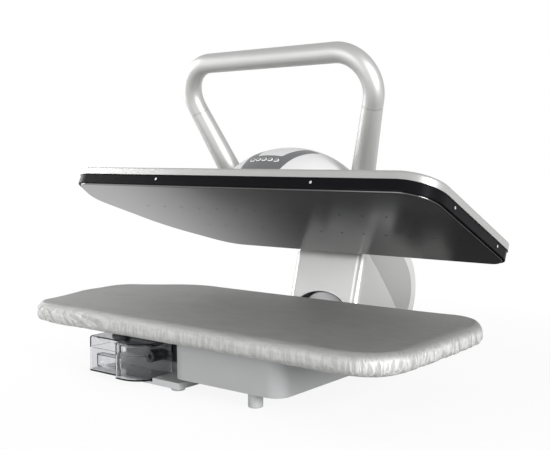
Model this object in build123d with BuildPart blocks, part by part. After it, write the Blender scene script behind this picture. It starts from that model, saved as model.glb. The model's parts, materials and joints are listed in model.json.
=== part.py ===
"""Tabletop steam ironing press: padded board on a base box, hinged heated plate, removable tank.

The press stands open. Base pieces are drawn level; head pieces are drawn on planes that share
the base's coordinates when the press is closed and are raised about the hinge by OPEN_ANGLE.
x runs along the board to its blunt end, y from the user to the hinge, z up from the table.
"""
from build123d import *
from math import asin, cos, degrees, radians, sin, sqrt
import os

os.makedirs("parts", exist_ok=True)

# Padded board
BOARD_LENGTH = 672.0
BOARD_RIGHT = 319.0
BOARD_DEPTH = 306.0
BOARD_FRONT = -150.0
BOARD_TOP = 103.0
PAD_HEIGHT = 28.0
BOARD_CORNER_R = 55.0
BOARD_NOSE_REAR = 114.0
BOARD_NOSE_HIP_Y = 72.0
BOARD_NOSE_HEEL_Y = -48.0
BOARD_NOSE_TOE = 66.0
BOARD_NOSE_RADII = (150.0, 70.0, 110.0, 60.0)
PAD_EDGE_R = 12.0
PAD_HEM_R = 8.0
COVER_CLOTH = 2.0
HEM_WIDTH = 16.0
PAN_SHEET = 1.5
PAN_RIM = 13.0
PAN_HOLE_R = 9.0
PAN_HOLE_PITCH = 90.0
PAN_HOLE_COUNT = 6
PAN_SCREW_IN = 22.0

# Hinge
PIVOT_Y = 320.0
PIVOT_Z = 30.0
OPEN_ANGLE = 24.17
SHAFT_R = 7.0
HUB_R = 13.0
HUB_BOSS = 3.0
SHAFT_PLAY = 0.05

# Pressing plate, closed on the board
PLATE_LENGTH = 662.0
PLATE_SHIFT = -6.0
PLATE_FRONT = -137.0
PLATE_REAR = 134.0
PLATE_CORNER_RADII = (48.0, 28.0)
PLATE_NOSE_REAR = 152.0
PLATE_NOSE_HIP = 60.0
PLATE_NOSE_HIP_Y = 55.0
PLATE_NOSE_TIP_Y = -70.0
PLATE_NOSE_TOE = 33.0
PLATE_NOSE_RADII = (90.0, 200.0, 55.0, 32.0)
PRESS_GAP = 0.6
SOLE_THICK = 8.0
SOLE_PROUD = 3.0
SOLE_INSET = 4.0
SOLE_EDGE_R = 2.0
FRAME_HEIGHT = 14.0
FRAME_BAND = 14.0
COVER_EDGE = 12.0
COVER_LIP = 1.5
COVER_EDGE_R = 4.0
COVER_SHEET = 2.0
COVER_RIM = 3.0
STEAM_HOLE_R = 1.6
STEAM_COUNT = 13
STEAM_ROW_IN = 90.0
STEAM_ROW_APART = 76.0
STEAM_NOSE_MARGINS = (115.0, 185.0)
STEAM_END_MARGINS = (103.0, 33.0)
FRAME_SCREW_R = 2.0
FRAME_SCREW_HEAD = 1.4
FRAME_SCREW_X = (-124.0, 156.0)
FRAME_SCREW_Y = (-65.0, 76.0)
ELEMENT_R = 3.4
ELEMENT_SIDE = 60.0
ELEMENT_NOSE = 72.0
ELEMENT_END = 135.0
THERMOSTAT_R = 9.0
THERMOSTAT_HIGH = 6.0

# Arm and head
ARM_HALF = 67.0
ARM_WALL = 2.5
ARM_EDGE_R = 12.0
ARM_BOTTOM = 28.0
ARM_FRONT_LOW = 172.0
ARM_FRONT_HIGH = 157.0
ARM_HEAD_Y = 60.0
ARM_HEAD_TOP = 205.0
ARM_BACK_R = 88.0
ARM_BACK_LEAN = 128.5
PIVOT_COVER = 17.0
ARM_BACK_TO = 63.0
SPINE_DEPTH = 25.0
SPINE_END = -25.0
SKIRT_FRONT_Z = 126.0
SKIRT_SLOPE = 0.48
SKIRT_BOW = 8.0
ARCH_HALF = 54.0
ARCH_RISE = 38.0
ARCH_TOP = 48.0
SEAM_GAP = 0.4
LEVER_SHEET = 4.0
LEVER_INSIDE = 43.0
LEVER_WIDTH = 28.0
LEVER_HEAD_Y = 10.0
TIE_Y = 250.0
TIE_DROP = 8.0
TIE_WALL = 2.0
TIE_R = 8.0
HEAD_FRAME_SHEET = 3.0
HEAD_WING = 108.0
HEAD_WING_DEPTH = 60.0
DOME_HALF = 135.0
DOME_R = 120.0
DOME_Y = 43.0
DOME_DROP = 18.0
DOME_WALL = 2.5

# Controls
PANEL_TILT = 42.0
PANEL_FOOT = 46.0
PANEL_FOOT_HALF = 34.0
PANEL_BROW = 4.0
PANEL_BROW_HALF = 41.0
PANEL_TIP = 50.0
PANEL_TIP_HALF = 54.0
PANEL_ARM = 18.0
PANEL_CORNER_R = 4.0
BUTTON_TILT = 33.5
BUTTON_R = 4.3
BUTTON_COUNT = 5
BUTTON_PITCH = 11.0
BUTTON_PROUD = 1.4
BUTTON_LENGTH = 9.0
BUTTON_PLAY = 0.3
BUTTON_TRAVEL = 1.0
BUTTON_EDGE_R = 1.0
CONTROL_LENGTH = 70.0
CONTROL_DEPTH = 26.0
BOARD_SHEET = 1.6

# Handle
HANDLE_FOOT_X = 96.0
HANDLE_FOOT_Y = 76.0
HANDLE_BAR_Y = -108.0
HANDLE_BAR_Z = 322.0
HANDLE_BAR_HALF = 190.5
HANDLE_BEND_R = 52.0
HANDLE_TUBE = 30.0
HANDLE_FOOT_TUBE = 42.0
HANDLE_WALL = 3.0
HANDLE_SEAM = 84.0
LEG_HOLE_PLAY = 0.8

# Base box and tank bay
BASE_BOTTOM = 21.5
BASE_LEFT = -37.0
BASE_RIGHT = 153.0
BASE_FRONT = -125.0
HEM_CLEAR = 3.0
WING_LEFT = -214.0
WING_FRONT = -62.0
WING_REAR = 66.0
BASE_CORNER_R = 22.0
BASE_WALL = 2.5
VENT_LENGTH = 60.0
VENT_WIDTH = 4.0
VENT_PITCH = 10.0
VENT_COUNT = 6
FIT = 0.3
CHASSIS_SHEET = 3.0
CHASSIS_HALF = 60.0
CHASSIS_BEND_Y = 150.0
CHASSIS_BEND_RUN = 15.0
REAR_PLATE_Z = 8.0
REAR_PLATE_HALF = 115.0
REAR_PLATE_Y = 300.0
CHASSIS_REAR = 376.0
FOOT_R = 10.0
FOOT_EDGE_R = 2.0
FRONT_FOOT_Y = -106.0
RIGHT_FOOT_X = 99.0
LEFT_FOOT_X = -41.0
REAR_FOOT_X = 98.0
REAR_FOOT_Y = 354.0

# Hinge tower and bracket
TOWER_FRONT = 196.0
TOWER_REAR = 262.0
TOWER_HALF = 42.0
TOWER_TOP = 106.0
TOWER_WALL = 2.5
TOWER_EDGE_R = 2.0
EAR_SHEET = 3.0
EAR_OUTSIDE = 40.0
EAR_FOOT = 26.0
RING_R = 11.0
RING_SHEET = 1.2
RING_PLAY = 0.3
SPRING_WIRE_R = 1.7
SPRING_R = 11.5
SPRING_LENGTH = 42.0

# Water tank
TANK_LEFT = -207.0
TANK_RIGHT = -83.0
TANK_FRONT = -127.0
TANK_REAR = -68.0
TANK_TOP = 60.0
TANK_SEAM = 43.0
TANK_WALL = 2.0
TANK_CORNER_R = 7.0
LOBE_LEFT = -138.0
LOBE_FRONT = -138.0
LOBE_R = 36.0
TANK_SIDE_PLAY = 3.0
LID_EDGE_R = 4.0
GRIP_LEFT = -186.0
GRIP_RIGHT = -147.0
GRIP_DEEP = 11.0
GRIP_BOTTOM = 18.0
GRIP_TOP = 33.0
GRIP_CORNER_R = 6.0
CAP_R = 14.0
CAP_X = -158.0
CAP_Y = -104.0
CAP_PROUD = 4.0
CAP_PLUG = 8.0
CAP_RIM = 3.0
TRAY_Z = 4.0
TRAY_SHEET = 3.0
TRAY_FRONT = -118.0
TRAY_RIGHT = -28.0
TRAY_LEDGE = 9.0
TRAY_FLANGE = 14.0
DOCK_SHEET = 3.5
DOCK_MARGIN = 4.0
SPIGOT_X = -120.0
SPIGOT_Z = 32.0
SPIGOT_R = 4.0
SPIGOT_LONG = 12.0
SPIGOT_BORE = 2.0
VALVE_R = 9.0
VALVE_DEEP = 16.0
PUMP_R = 17.0
PUMP_LENGTH = 64.0
PUMP_FOOT = 4.0
HOSE_WALL = 1.2
HOSE_LAP = 8.0
HOSE_RUN = 14.0
SUPPLY_X = 60.0
SUPPLY_Y = 30.0
SUPPLY_LENGTH = 120.0
SUPPLY_DEPTH = 90.0
STANDOFF = 6.0
RELAY_SIZE = 26.0
RELAY_HEIGHT = 20.0
INLET_R = 9.0
INLET_BORE = 4.0
INLET_FLANGE = 4.0
INLET_X = 110.0
INLET_Z = 45.0
SCREW_R = 3.2
SCREW_HEAD = 2.2


# Worked-out places
pad_bottom = BOARD_TOP - PAD_HEIGHT
sole_bottom = BOARD_TOP + PRESS_GAP
frame_bottom = sole_bottom + SOLE_PROUD
frame_top = frame_bottom + FRAME_HEIGHT
cover_top = frame_top + COVER_EDGE
head_frame_top = cover_top + HEAD_FRAME_SHEET
arm_floor = head_frame_top + SEAM_GAP
lever_floor = arm_floor + SEAM_GAP
dome_axis_z = cover_top - DOME_DROP
tower_foot = REAR_PLATE_Z + CHASSIS_SHEET
tank_floor = TRAY_Z + TRAY_SHEET + FIT
riser_y = WING_FRONT + FIT
chassis_front = riser_y + TRAY_FLANGE + FIT
board_left = BOARD_RIGHT - BOARD_LENGTH
board_rear = BOARD_FRONT + BOARD_DEPTH
base_rear = board_rear - HEM_WIDTH - HEM_CLEAR
plate_right = PLATE_SHIFT + PLATE_LENGTH / 2
plate_left = PLATE_SHIFT - PLATE_LENGTH / 2
back_reach = ARM_BACK_R - PIVOT_COVER
arm_back_y = PIVOT_Y + back_reach * cos(radians(ARM_BACK_LEAN))
arm_back_z = PIVOT_Z + back_reach * sin(radians(ARM_BACK_LEAN))
tie_z = arm_back_z + ARM_BACK_R - TIE_DROP
back_open_y = PIVOT_Y + back_reach * cos(radians(ARM_BACK_LEAN - OPEN_ANGLE))
middle_x = (board_left + plate_right + COVER_LIP) / 2
middle_y = (back_open_y + ARM_BACK_R + BOARD_FRONT) / 2


class Frame:
    """Drawing planes of one rigid group."""

    def __init__(self, plane):
        self.plane = plane

    def point(self, x, y, z):
        return self.plane.from_local_coords((x, y, z))

    def top(self, z):
        """Plane seen from above; its axes are x and y."""
        return self.plane.offset(z)

    def side(self, x):
        """Plane seen from the blunt end; its axes are y and z."""
        return Plane(self.point(x, 0, 0), x_dir=self.plane.y_dir, z_dir=self.plane.x_dir)

    def front(self, y):
        """Plane seen from the user; its axes are x and z."""
        return Plane(self.point(0, y, 0), x_dir=self.plane.x_dir, z_dir=-self.plane.y_dir)

    def tilted(self, y, z, angle):
        """Plane on a line along x, with its normal leaning up from the front by angle."""
        normal = self.plane.y_dir * -cos(radians(angle)) + self.plane.z_dir * sin(radians(angle))
        return Plane(self.point(0, y, z), x_dir=self.plane.x_dir, z_dir=normal)


base = Frame(Plane(origin=(-middle_x, -middle_y, 0)))
hinge_plane = Plane(origin=base.point(0, PIVOT_Y, PIVOT_Z)).rotated((-OPEN_ANGLE, 0, 0))
head = Frame(Plane(hinge_plane.from_local_coords((0, -PIVOT_Y, -PIVOT_Z)),
                   x_dir=hinge_plane.x_dir, z_dir=hinge_plane.z_dir))


def plan_outline(blunt, nose, radii):
    """Plan face through the blunt end's two corners and the nose's corners, all rounded."""
    with BuildSketch() as plan:
        with BuildLine():
            Polyline(*blunt, *nose, close=True)
        make_face()
        for corner, radius in zip((*blunt, *nose), radii):
            fillet(plan.vertices().sort_by_distance((*corner, 0))[0], radius)
    return plan.sketch


board_plan = plan_outline(
    ((BOARD_RIGHT, BOARD_FRONT), (BOARD_RIGHT, board_rear)),
    ((board_left + BOARD_NOSE_REAR, board_rear), (board_left, BOARD_NOSE_HIP_Y),
     (board_left, BOARD_NOSE_HEEL_Y), (board_left + BOARD_NOSE_TOE, BOARD_FRONT)),
    (BOARD_CORNER_R, BOARD_CORNER_R, *BOARD_NOSE_RADII))

plate_plan = plan_outline(
    ((plate_right, PLATE_FRONT), (plate_right, PLATE_REAR)),
    ((plate_left + PLATE_NOSE_REAR, PLATE_REAR), (plate_left + PLATE_NOSE_HIP, PLATE_NOSE_HIP_Y),
     (plate_left, PLATE_NOSE_TIP_Y), (plate_left + PLATE_NOSE_TOE, PLATE_FRONT)),
    (*PLATE_CORNER_RADII, *PLATE_NOSE_RADII))


def slab(plane, plan, height, grow=0.0):
    """Extrude a plan, grown or shrunk all round, up from a plane."""
    with BuildPart() as piece:
        with BuildSketch(plane):
            add(plan)
            if grow:
                offset(amount=grow)
        extrude(amount=height)
    return piece.part


def write(piece, name):
    """Label a finished piece and write its file."""
    piece.part.label = name
    export_step(piece.part, f"parts/{name}.step")


# Board: cloth cover drawn under a perforated pan, foam inside
foam_top = BOARD_TOP - COVER_CLOTH
foam_grow = -COVER_CLOTH - FIT
pan_grow = -PAD_HEM_R - FIT
pan_top = pad_bottom + PAN_RIM + FIT

with BuildPart() as pad_core:
    add(slab(base.top(pad_bottom), board_plan, foam_top - pad_bottom, -COVER_CLOTH))
    fillet(pad_core.faces().sort_by(Axis.Z)[-1].edges(), PAD_EDGE_R - COVER_CLOTH)
    fillet(pad_core.faces().sort_by(Axis.Z)[0].edges(), PAD_HEM_R - COVER_CLOTH)

with BuildPart() as board_cover:
    add(slab(base.top(pad_bottom - COVER_CLOTH), board_plan, PAD_HEIGHT + COVER_CLOTH))
    fillet(board_cover.faces().sort_by(Axis.Z)[-1].edges(), PAD_EDGE_R)
    fillet(board_cover.faces().sort_by(Axis.Z)[0].edges(), PAD_HEM_R)
    add(pad_core.part, mode=Mode.SUBTRACT)
    add(slab(base.top(pad_bottom - COVER_CLOTH), board_plan, COVER_CLOTH, -HEM_WIDTH), mode=Mode.SUBTRACT)
write(board_cover, "board_cover")

with BuildPart() as board_foam:
    add(slab(base.top(pan_top), board_plan, foam_top - pan_top, foam_grow))
    fillet(board_foam.faces().sort_by(Axis.Z)[-1].edges(), PAD_EDGE_R - COVER_CLOTH)
    foam_floor = pad_bottom + PAN_SHEET
    add(slab(base.top(foam_floor), board_plan, pan_top - foam_floor, pan_grow - PAN_SHEET - FIT))
write(board_foam, "board_foam")

with BuildPart() as board_pan:
    add(slab(base.top(pad_bottom), board_plan, PAN_RIM, pan_grow))
    pan_space = slab(base.top(pad_bottom + PAN_SHEET), board_plan, PAN_RIM, pan_grow - PAN_SHEET)
    add(pan_space, mode=Mode.SUBTRACT)
    with BuildSketch(base.top(pad_bottom)):
        with Locations(((BOARD_RIGHT + board_left) / 2, (BOARD_FRONT + board_rear) / 2)):
            with GridLocations(PAN_HOLE_PITCH, PAN_HOLE_PITCH, PAN_HOLE_COUNT, 2):
                Circle(PAN_HOLE_R)
    extrude(amount=PAN_SHEET, mode=Mode.SUBTRACT)
write(board_pan, "board_pan")

# Base box: an L in plan, with the tank bay in its front left corner
with BuildSketch() as base_sketch:
    with BuildLine():
        Polyline((BASE_LEFT, BASE_FRONT), (BASE_RIGHT, BASE_FRONT), (BASE_RIGHT, base_rear),
                 (BASE_LEFT, base_rear), (BASE_LEFT, WING_REAR), (WING_LEFT, WING_REAR),
                 (WING_LEFT, WING_FRONT), (BASE_LEFT, WING_FRONT), close=True)
    make_face()
    fillet(base_sketch.vertices().sort_by_distance((BASE_LEFT, WING_FRONT, 0))[1:], BASE_CORNER_R)
base_plan = base_sketch.sketch
bay_inner_z = BASE_BOTTOM + BASE_WALL
base_ceiling = pad_bottom - BASE_WALL
pan_screw_spots = [(BASE_RIGHT - PAN_SCREW_IN, BASE_FRONT + PAN_SCREW_IN),
                   (BASE_RIGHT - PAN_SCREW_IN, base_rear - PAN_SCREW_IN),
                   (WING_LEFT + PAN_SCREW_IN, WING_REAR - PAN_SCREW_IN),
                   (WING_LEFT + PAN_SCREW_IN, WING_FRONT + PAN_SCREW_IN)]

with BuildPart() as base_housing:
    add(slab(base.top(BASE_BOTTOM), base_plan, pad_bottom - BASE_BOTTOM))
    add(slab(base.top(BASE_BOTTOM), base_plan, base_ceiling - BASE_BOTTOM, -BASE_WALL), mode=Mode.SUBTRACT)
    with BuildSketch(base.front(WING_FRONT)):
        with Locations((SPIGOT_X, SPIGOT_Z)):
            Circle(SPIGOT_R + FIT)
    extrude(amount=-BASE_WALL, mode=Mode.SUBTRACT)
    with BuildSketch(base.front(base_rear)):
        with Locations((INLET_X, INLET_Z)):
            Circle(INLET_R + FIT)
    extrude(amount=BASE_WALL, mode=Mode.SUBTRACT)
write(base_housing, "base_housing")

with BuildPart() as base_bottom:
    add(slab(base.top(BASE_BOTTOM), base_plan, BASE_WALL, -BASE_WALL - FIT))
    with BuildSketch(base.top(BASE_BOTTOM)):
        with Locations(((CHASSIS_HALF + BASE_RIGHT) / 2, 0)):
            with GridLocations(0, VENT_PITCH, 1, VENT_COUNT):
                SlotOverall(VENT_LENGTH, VENT_WIDTH)
    extrude(amount=BASE_WALL, mode=Mode.SUBTRACT)
write(base_bottom, "base_bottom")

with BuildPart() as base_screws:
    with BuildSketch(base.top(BASE_BOTTOM)):
        with Locations(*pan_screw_spots):
            Circle(SCREW_R)
    extrude(amount=-SCREW_HEAD)
write(base_screws, "base_screws")

with BuildPart() as pan_screws:
    with BuildSketch(base.top(base_ceiling)):
        with Locations(*pan_screw_spots):
            Circle(SCREW_R)
    extrude(amount=-SCREW_HEAD)
write(pan_screws, "pan_screws")

with BuildPart() as cord_inlet:
    with BuildSketch(base.front(base_rear)):
        with Locations((INLET_X, INLET_Z)):
            Circle(INLET_R)
            Circle(INLET_BORE, mode=Mode.SUBTRACT)
    extrude(amount=BASE_WALL)
    with BuildSketch(base.front(base_rear)):
        with Locations((INLET_X, INLET_Z)):
            Circle(INLET_R + INLET_FLANGE)
            Circle(INLET_BORE, mode=Mode.SUBTRACT)
    extrude(amount=-INLET_FLANGE)
    fillet(cord_inlet.edges().filter_by(GeomType.CIRCLE).sort_by(Axis.Y)[-1], INLET_FLANGE / 3)
write(cord_inlet, "cord_inlet")

# Chassis: bent steel strip under the box, widened to a cross foot behind
with BuildPart() as chassis:
    with BuildSketch(base.side(0)):
        with BuildLine():
            bend_end = CHASSIS_BEND_Y + CHASSIS_BEND_RUN
            Polyline((chassis_front, BASE_BOTTOM), (CHASSIS_BEND_Y + CHASSIS_SHEET / 2, BASE_BOTTOM),
                     (bend_end + CHASSIS_SHEET / 2, tower_foot), (CHASSIS_REAR, tower_foot),
                     (CHASSIS_REAR, REAR_PLATE_Z), (bend_end, REAR_PLATE_Z),
                     (CHASSIS_BEND_Y, BASE_BOTTOM - CHASSIS_SHEET),
                     (chassis_front, BASE_BOTTOM - CHASSIS_SHEET), close=True)
        make_face()
    extrude(amount=CHASSIS_HALF, both=True)
    with BuildSketch(base.top(REAR_PLATE_Z)):
        with Locations((0, (REAR_PLATE_Y + CHASSIS_REAR) / 2)):
            RectangleRounded(2 * REAR_PLATE_HALF, CHASSIS_REAR - REAR_PLATE_Y, FOOT_R)
    extrude(amount=CHASSIS_SHEET)
write(chassis, "chassis")


def feet(spots):
    """Rubber feet standing on the table; each spot is x, y and the height it carries."""
    with BuildPart() as group:
        for x, y, height in spots:
            with BuildSketch(base.top(0)):
                with Locations((x, y)):
                    Circle(FOOT_R)
            extrude(amount=height)
        rims = group.edges().filter_by(GeomType.CIRCLE).group_by(Axis.Z)[0]
        fillet(rims, FOOT_EDGE_R)
    return group


front_feet = feet([(RIGHT_FOOT_X, FRONT_FOOT_Y, BASE_BOTTOM), (LEFT_FOOT_X, FRONT_FOOT_Y, TRAY_Z)])
write(front_feet, "front_feet")
rear_feet = feet([(-REAR_FOOT_X, REAR_FOOT_Y, REAR_PLATE_Z), (REAR_FOOT_X, REAR_FOOT_Y, REAR_PLATE_Z)])
write(rear_feet, "rear_feet")

# Hinge: bracket ears on the chassis carry a fixed shaft, and an arched tower closes it from the front
with BuildPart() as hinge_bracket:
    with BuildSketch(base.side(-EAR_OUTSIDE)):
        with BuildLine():
            Polyline((PIVOT_Y - EAR_FOOT, tower_foot), (PIVOT_Y + HUB_R, tower_foot),
                     (PIVOT_Y + HUB_R, PIVOT_Z), (PIVOT_Y - HUB_R, PIVOT_Z), close=True)
        make_face()
        with Locations((PIVOT_Y, PIVOT_Z)):
            Circle(HUB_R)
            Circle(SHAFT_R + SHAFT_PLAY, mode=Mode.SUBTRACT)
    extrude(amount=EAR_SHEET)
    mirror(about=base.side(0))
    with BuildSketch(base.top(tower_foot)):
        with Locations((0, PIVOT_Y + (HUB_R - EAR_FOOT) / 2)):
            Rectangle(2 * EAR_OUTSIDE, EAR_FOOT + HUB_R)
    extrude(amount=EAR_SHEET)
write(hinge_bracket, "hinge_bracket")

lever_outside = LEVER_INSIDE + LEVER_SHEET
ring_inside = lever_outside + HUB_BOSS + RING_PLAY
shaft_half = ring_inside + 2 * RING_SHEET

with BuildPart() as hinge_shaft:
    with BuildSketch(base.side(-shaft_half)):
        with Locations((PIVOT_Y, PIVOT_Z)):
            Circle(SHAFT_R)
    extrude(amount=2 * shaft_half)
    chamfer(hinge_shaft.edges().filter_by(GeomType.CIRCLE), RING_SHEET / 2)
write(hinge_shaft, "hinge_shaft")

with BuildPart() as shaft_rings:
    with BuildSketch(base.side(ring_inside)):
        with Locations((PIVOT_Y, PIVOT_Z)):
            Circle(RING_R)
            Circle(SHAFT_R + SHAFT_PLAY, mode=Mode.SUBTRACT)
    extrude(amount=RING_SHEET)
    mirror(about=base.side(0))
write(shaft_rings, "shaft_rings")

with BuildPart() as lift_spring:
    with BuildSketch(base.side(-SPRING_LENGTH / 2)):
        with Locations((PIVOT_Y, PIVOT_Z)):
            Circle(SPRING_R)
            Circle(SPRING_R - 2 * SPRING_WIRE_R, mode=Mode.SUBTRACT)
    extrude(amount=SPRING_LENGTH)
write(lift_spring, "lift_spring")


def tower_profile(inset):
    """Arched front of the hinge tower: straight sides under half an ellipse."""
    spring_line = TOWER_TOP - ARCH_RISE
    with BuildSketch() as profile:
        with Locations((0, (tower_foot + spring_line) / 2)):
            Rectangle(2 * (TOWER_HALF - inset), spring_line - tower_foot)
        with Locations((0, spring_line)):
            Ellipse(TOWER_HALF - inset, ARCH_RISE - inset)
    return profile.sketch


with BuildPart() as hinge_tower:
    with BuildSketch(base.front(TOWER_FRONT)):
        add(tower_profile(0))
    extrude(amount=TOWER_FRONT - TOWER_REAR)
    fillet(hinge_tower.faces().sort_by(Axis.Y)[0].edges().filter_by(GeomType.ELLIPSE), TOWER_EDGE_R)
    with BuildSketch(base.front(TOWER_FRONT + TOWER_WALL)):
        add(tower_profile(TOWER_WALL))
    extrude(amount=TOWER_FRONT + TOWER_WALL - TOWER_REAR, mode=Mode.SUBTRACT)
write(hinge_tower, "hinge_tower")

# Tank bay: tray under the tank, dark dock plate with the water spigot behind it
with BuildPart() as tank_tray:
    with BuildSketch(base.side(WING_LEFT)):
        with BuildLine():
            Polyline((TRAY_FRONT, TRAY_Z), (riser_y + TRAY_SHEET, TRAY_Z),
                     (riser_y + TRAY_SHEET, BASE_BOTTOM - TRAY_SHEET),
                     (riser_y + TRAY_FLANGE, BASE_BOTTOM - TRAY_SHEET),
                     (riser_y + TRAY_FLANGE, BASE_BOTTOM), (riser_y, BASE_BOTTOM),
                     (riser_y, TRAY_Z + TRAY_SHEET), (TRAY_FRONT, TRAY_Z + TRAY_SHEET), close=True)
        make_face()
    extrude(amount=TRAY_RIGHT - WING_LEFT)
    with BuildSketch(base.top(TRAY_Z)):
        with Locations(((TANK_RIGHT + TANK_SIDE_PLAY + TRAY_RIGHT) / 2, (TRAY_FRONT + riser_y) / 2)):
            Rectangle(TRAY_RIGHT - TANK_RIGHT - TANK_SIDE_PLAY, riser_y - TRAY_FRONT)
    extrude(amount=TRAY_LEDGE)
write(tank_tray, "tank_tray")

with BuildPart() as tank_dock:
    with BuildSketch(base.front(WING_FRONT)):
        with Locations(((WING_LEFT + BASE_LEFT) / 2, (BASE_BOTTOM + pad_bottom) / 2)):
            Rectangle(BASE_LEFT - WING_LEFT - 2 * BASE_CORNER_R, pad_bottom - BASE_BOTTOM - 2 * DOCK_MARGIN)
    extrude(amount=DOCK_SHEET)
    with BuildSketch(base.front(WING_FRONT + BASE_WALL + HOSE_LAP)):
        with Locations((SPIGOT_X, SPIGOT_Z)):
            Circle(SPIGOT_R)
    extrude(amount=BASE_WALL + HOSE_LAP + DOCK_SHEET + SPIGOT_LONG)
    with BuildSketch(base.front(WING_FRONT + BASE_WALL + HOSE_LAP)):
        with Locations((SPIGOT_X, SPIGOT_Z)):
            Circle(SPIGOT_BORE)
    extrude(amount=BASE_WALL + HOSE_LAP + DOCK_SHEET + SPIGOT_LONG, mode=Mode.SUBTRACT)
write(tank_dock, "tank_dock")

# Water tank: clear body with a finger grip, lid, push-in cap and outlet valve
with BuildSketch() as tank_sketch:
    with BuildLine():
        Polyline((TANK_LEFT, TANK_REAR), (TANK_LEFT, TANK_FRONT), (LOBE_LEFT, TANK_FRONT),
                 (LOBE_LEFT, LOBE_FRONT), (TANK_RIGHT, LOBE_FRONT), (TANK_RIGHT, TANK_REAR), close=True)
    make_face()
    fillet(tank_sketch.vertices().sort_by_distance((TANK_RIGHT, LOBE_FRONT, 0))[0], LOBE_R)
    lobe_step = (TANK_FRONT - LOBE_FRONT) / 2
    fillet(tank_sketch.vertices().sort_by_distance((LOBE_LEFT, LOBE_FRONT, 0))[0], lobe_step)
    for rear_x in (TANK_LEFT, TANK_RIGHT):
        fillet(tank_sketch.vertices().sort_by_distance((rear_x, TANK_REAR, 0))[0], TANK_CORNER_R)
    fillet(tank_sketch.vertices().sort_by_distance((TANK_LEFT, TANK_FRONT, 0))[0], TANK_CORNER_R)
tank_plan = tank_sketch.sketch


def grip_pocket(grow):
    """Finger recess in the tank's front wall, grown by a wall for the space inside."""
    with BuildPart() as pocket:
        with BuildSketch(base.top(GRIP_BOTTOM - grow)):
            with Locations(((GRIP_LEFT + GRIP_RIGHT) / 2, TANK_FRONT)):
                RectangleRounded(GRIP_RIGHT - GRIP_LEFT + 2 * grow, 2 * (GRIP_DEEP + grow), GRIP_CORNER_R)
        extrude(amount=GRIP_TOP - GRIP_BOTTOM + 2 * grow)
    return pocket.part


with BuildPart() as tank_space:
    add(slab(base.top(tank_floor + TANK_WALL), tank_plan, TANK_SEAM - tank_floor - TANK_WALL, -TANK_WALL))
    add(grip_pocket(TANK_WALL), mode=Mode.SUBTRACT)

with BuildPart() as tank_body:
    add(slab(base.top(tank_floor), tank_plan, TANK_SEAM - tank_floor))
    add(grip_pocket(0), mode=Mode.SUBTRACT)
    add(tank_space.part, mode=Mode.SUBTRACT)
    with BuildSketch(base.front(TANK_REAR)):
        with Locations((SPIGOT_X, SPIGOT_Z)):
            Circle(VALVE_R)
    extrude(amount=TANK_WALL, mode=Mode.SUBTRACT)
write(tank_body, "tank_body")

with BuildPart() as tank_valve:
    with BuildSketch(base.front(TANK_REAR)):
        with Locations((SPIGOT_X, SPIGOT_Z)):
            Circle(VALVE_R)
            Circle(SPIGOT_R + FIT, mode=Mode.SUBTRACT)
    extrude(amount=VALVE_DEEP)
write(tank_valve, "tank_valve")

with BuildPart() as tank_lid:
    add(slab(base.top(TANK_SEAM), tank_plan, TANK_TOP - TANK_SEAM))
    fillet(tank_lid.faces().sort_by(Axis.Z)[-1].edges(), LID_EDGE_R)
    lid_space = slab(base.top(TANK_SEAM), tank_plan, TANK_TOP - TANK_SEAM - TANK_WALL, -LID_EDGE_R)
    add(lid_space, mode=Mode.SUBTRACT)
    with BuildSketch(base.top(TANK_TOP)):
        with Locations((CAP_X, CAP_Y)):
            Circle(CAP_R - CAP_RIM + FIT)
    extrude(amount=-TANK_WALL, mode=Mode.SUBTRACT)
write(tank_lid, "tank_lid")

with BuildPart() as tank_cap:
    with BuildSketch(base.top(TANK_TOP)):
        with Locations((CAP_X, CAP_Y)):
            Circle(CAP_R)
    extrude(amount=CAP_PROUD)
    fillet(tank_cap.edges().filter_by(GeomType.CIRCLE).sort_by(Axis.Z)[-1], CAP_PROUD / 3)
    with BuildSketch(base.top(TANK_TOP)):
        with Locations((CAP_X, CAP_Y)):
            Circle(CAP_R - CAP_RIM)
    extrude(amount=-CAP_PLUG)
write(tank_cap, "tank_cap")

# Inside the base: pump with its hose from the spigot, and the supply board
pump_front = WING_FRONT + BASE_WALL + HOSE_LAP + HOSE_RUN
pump_axis = bay_inner_z + PUMP_FOOT + PUMP_R

with BuildPart() as water_pump:
    with BuildSketch(base.front(pump_front)):
        with Locations((SPIGOT_X, pump_axis)):
            Circle(PUMP_R)
    extrude(amount=-PUMP_LENGTH)
    with BuildSketch(base.top(bay_inner_z)):
        with Locations((SPIGOT_X, pump_front + PUMP_LENGTH / 2)):
            Rectangle(2 * PUMP_R, PUMP_LENGTH / 2)
    extrude(amount=PUMP_FOOT + PUMP_R)
write(water_pump, "water_pump")

with BuildPart() as pump_hose:
    with BuildSketch(base.front(pump_front)):
        with Locations((SPIGOT_X, SPIGOT_Z)):
            Circle(SPIGOT_R + HOSE_WALL)
            Circle(SPIGOT_R, mode=Mode.SUBTRACT)
    extrude(amount=HOSE_RUN + HOSE_LAP - FIT)
write(pump_hose, "pump_hose")

with BuildPart() as power_board:
    with BuildSketch(base.top(bay_inner_z + STANDOFF)):
        with Locations((SUPPLY_X, SUPPLY_Y)):
            Rectangle(SUPPLY_LENGTH, SUPPLY_DEPTH)
    extrude(amount=BOARD_SHEET)
    with BuildSketch(base.top(bay_inner_z)):
        with Locations((SUPPLY_X, SUPPLY_Y)):
            with GridLocations(SUPPLY_LENGTH - 4 * SCREW_R, SUPPLY_DEPTH - 4 * SCREW_R, 2, 2):
                Circle(SCREW_R)
    extrude(amount=STANDOFF)
    with BuildSketch(base.top(bay_inner_z + STANDOFF + BOARD_SHEET)):
        with Locations((SUPPLY_X, SUPPLY_Y)):
            with GridLocations(SUPPLY_LENGTH / 2, SUPPLY_DEPTH / 2, 2, 2):
                Rectangle(RELAY_SIZE, RELAY_SIZE)
    extrude(amount=RELAY_HEIGHT)
write(power_board, "power_board")

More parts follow.
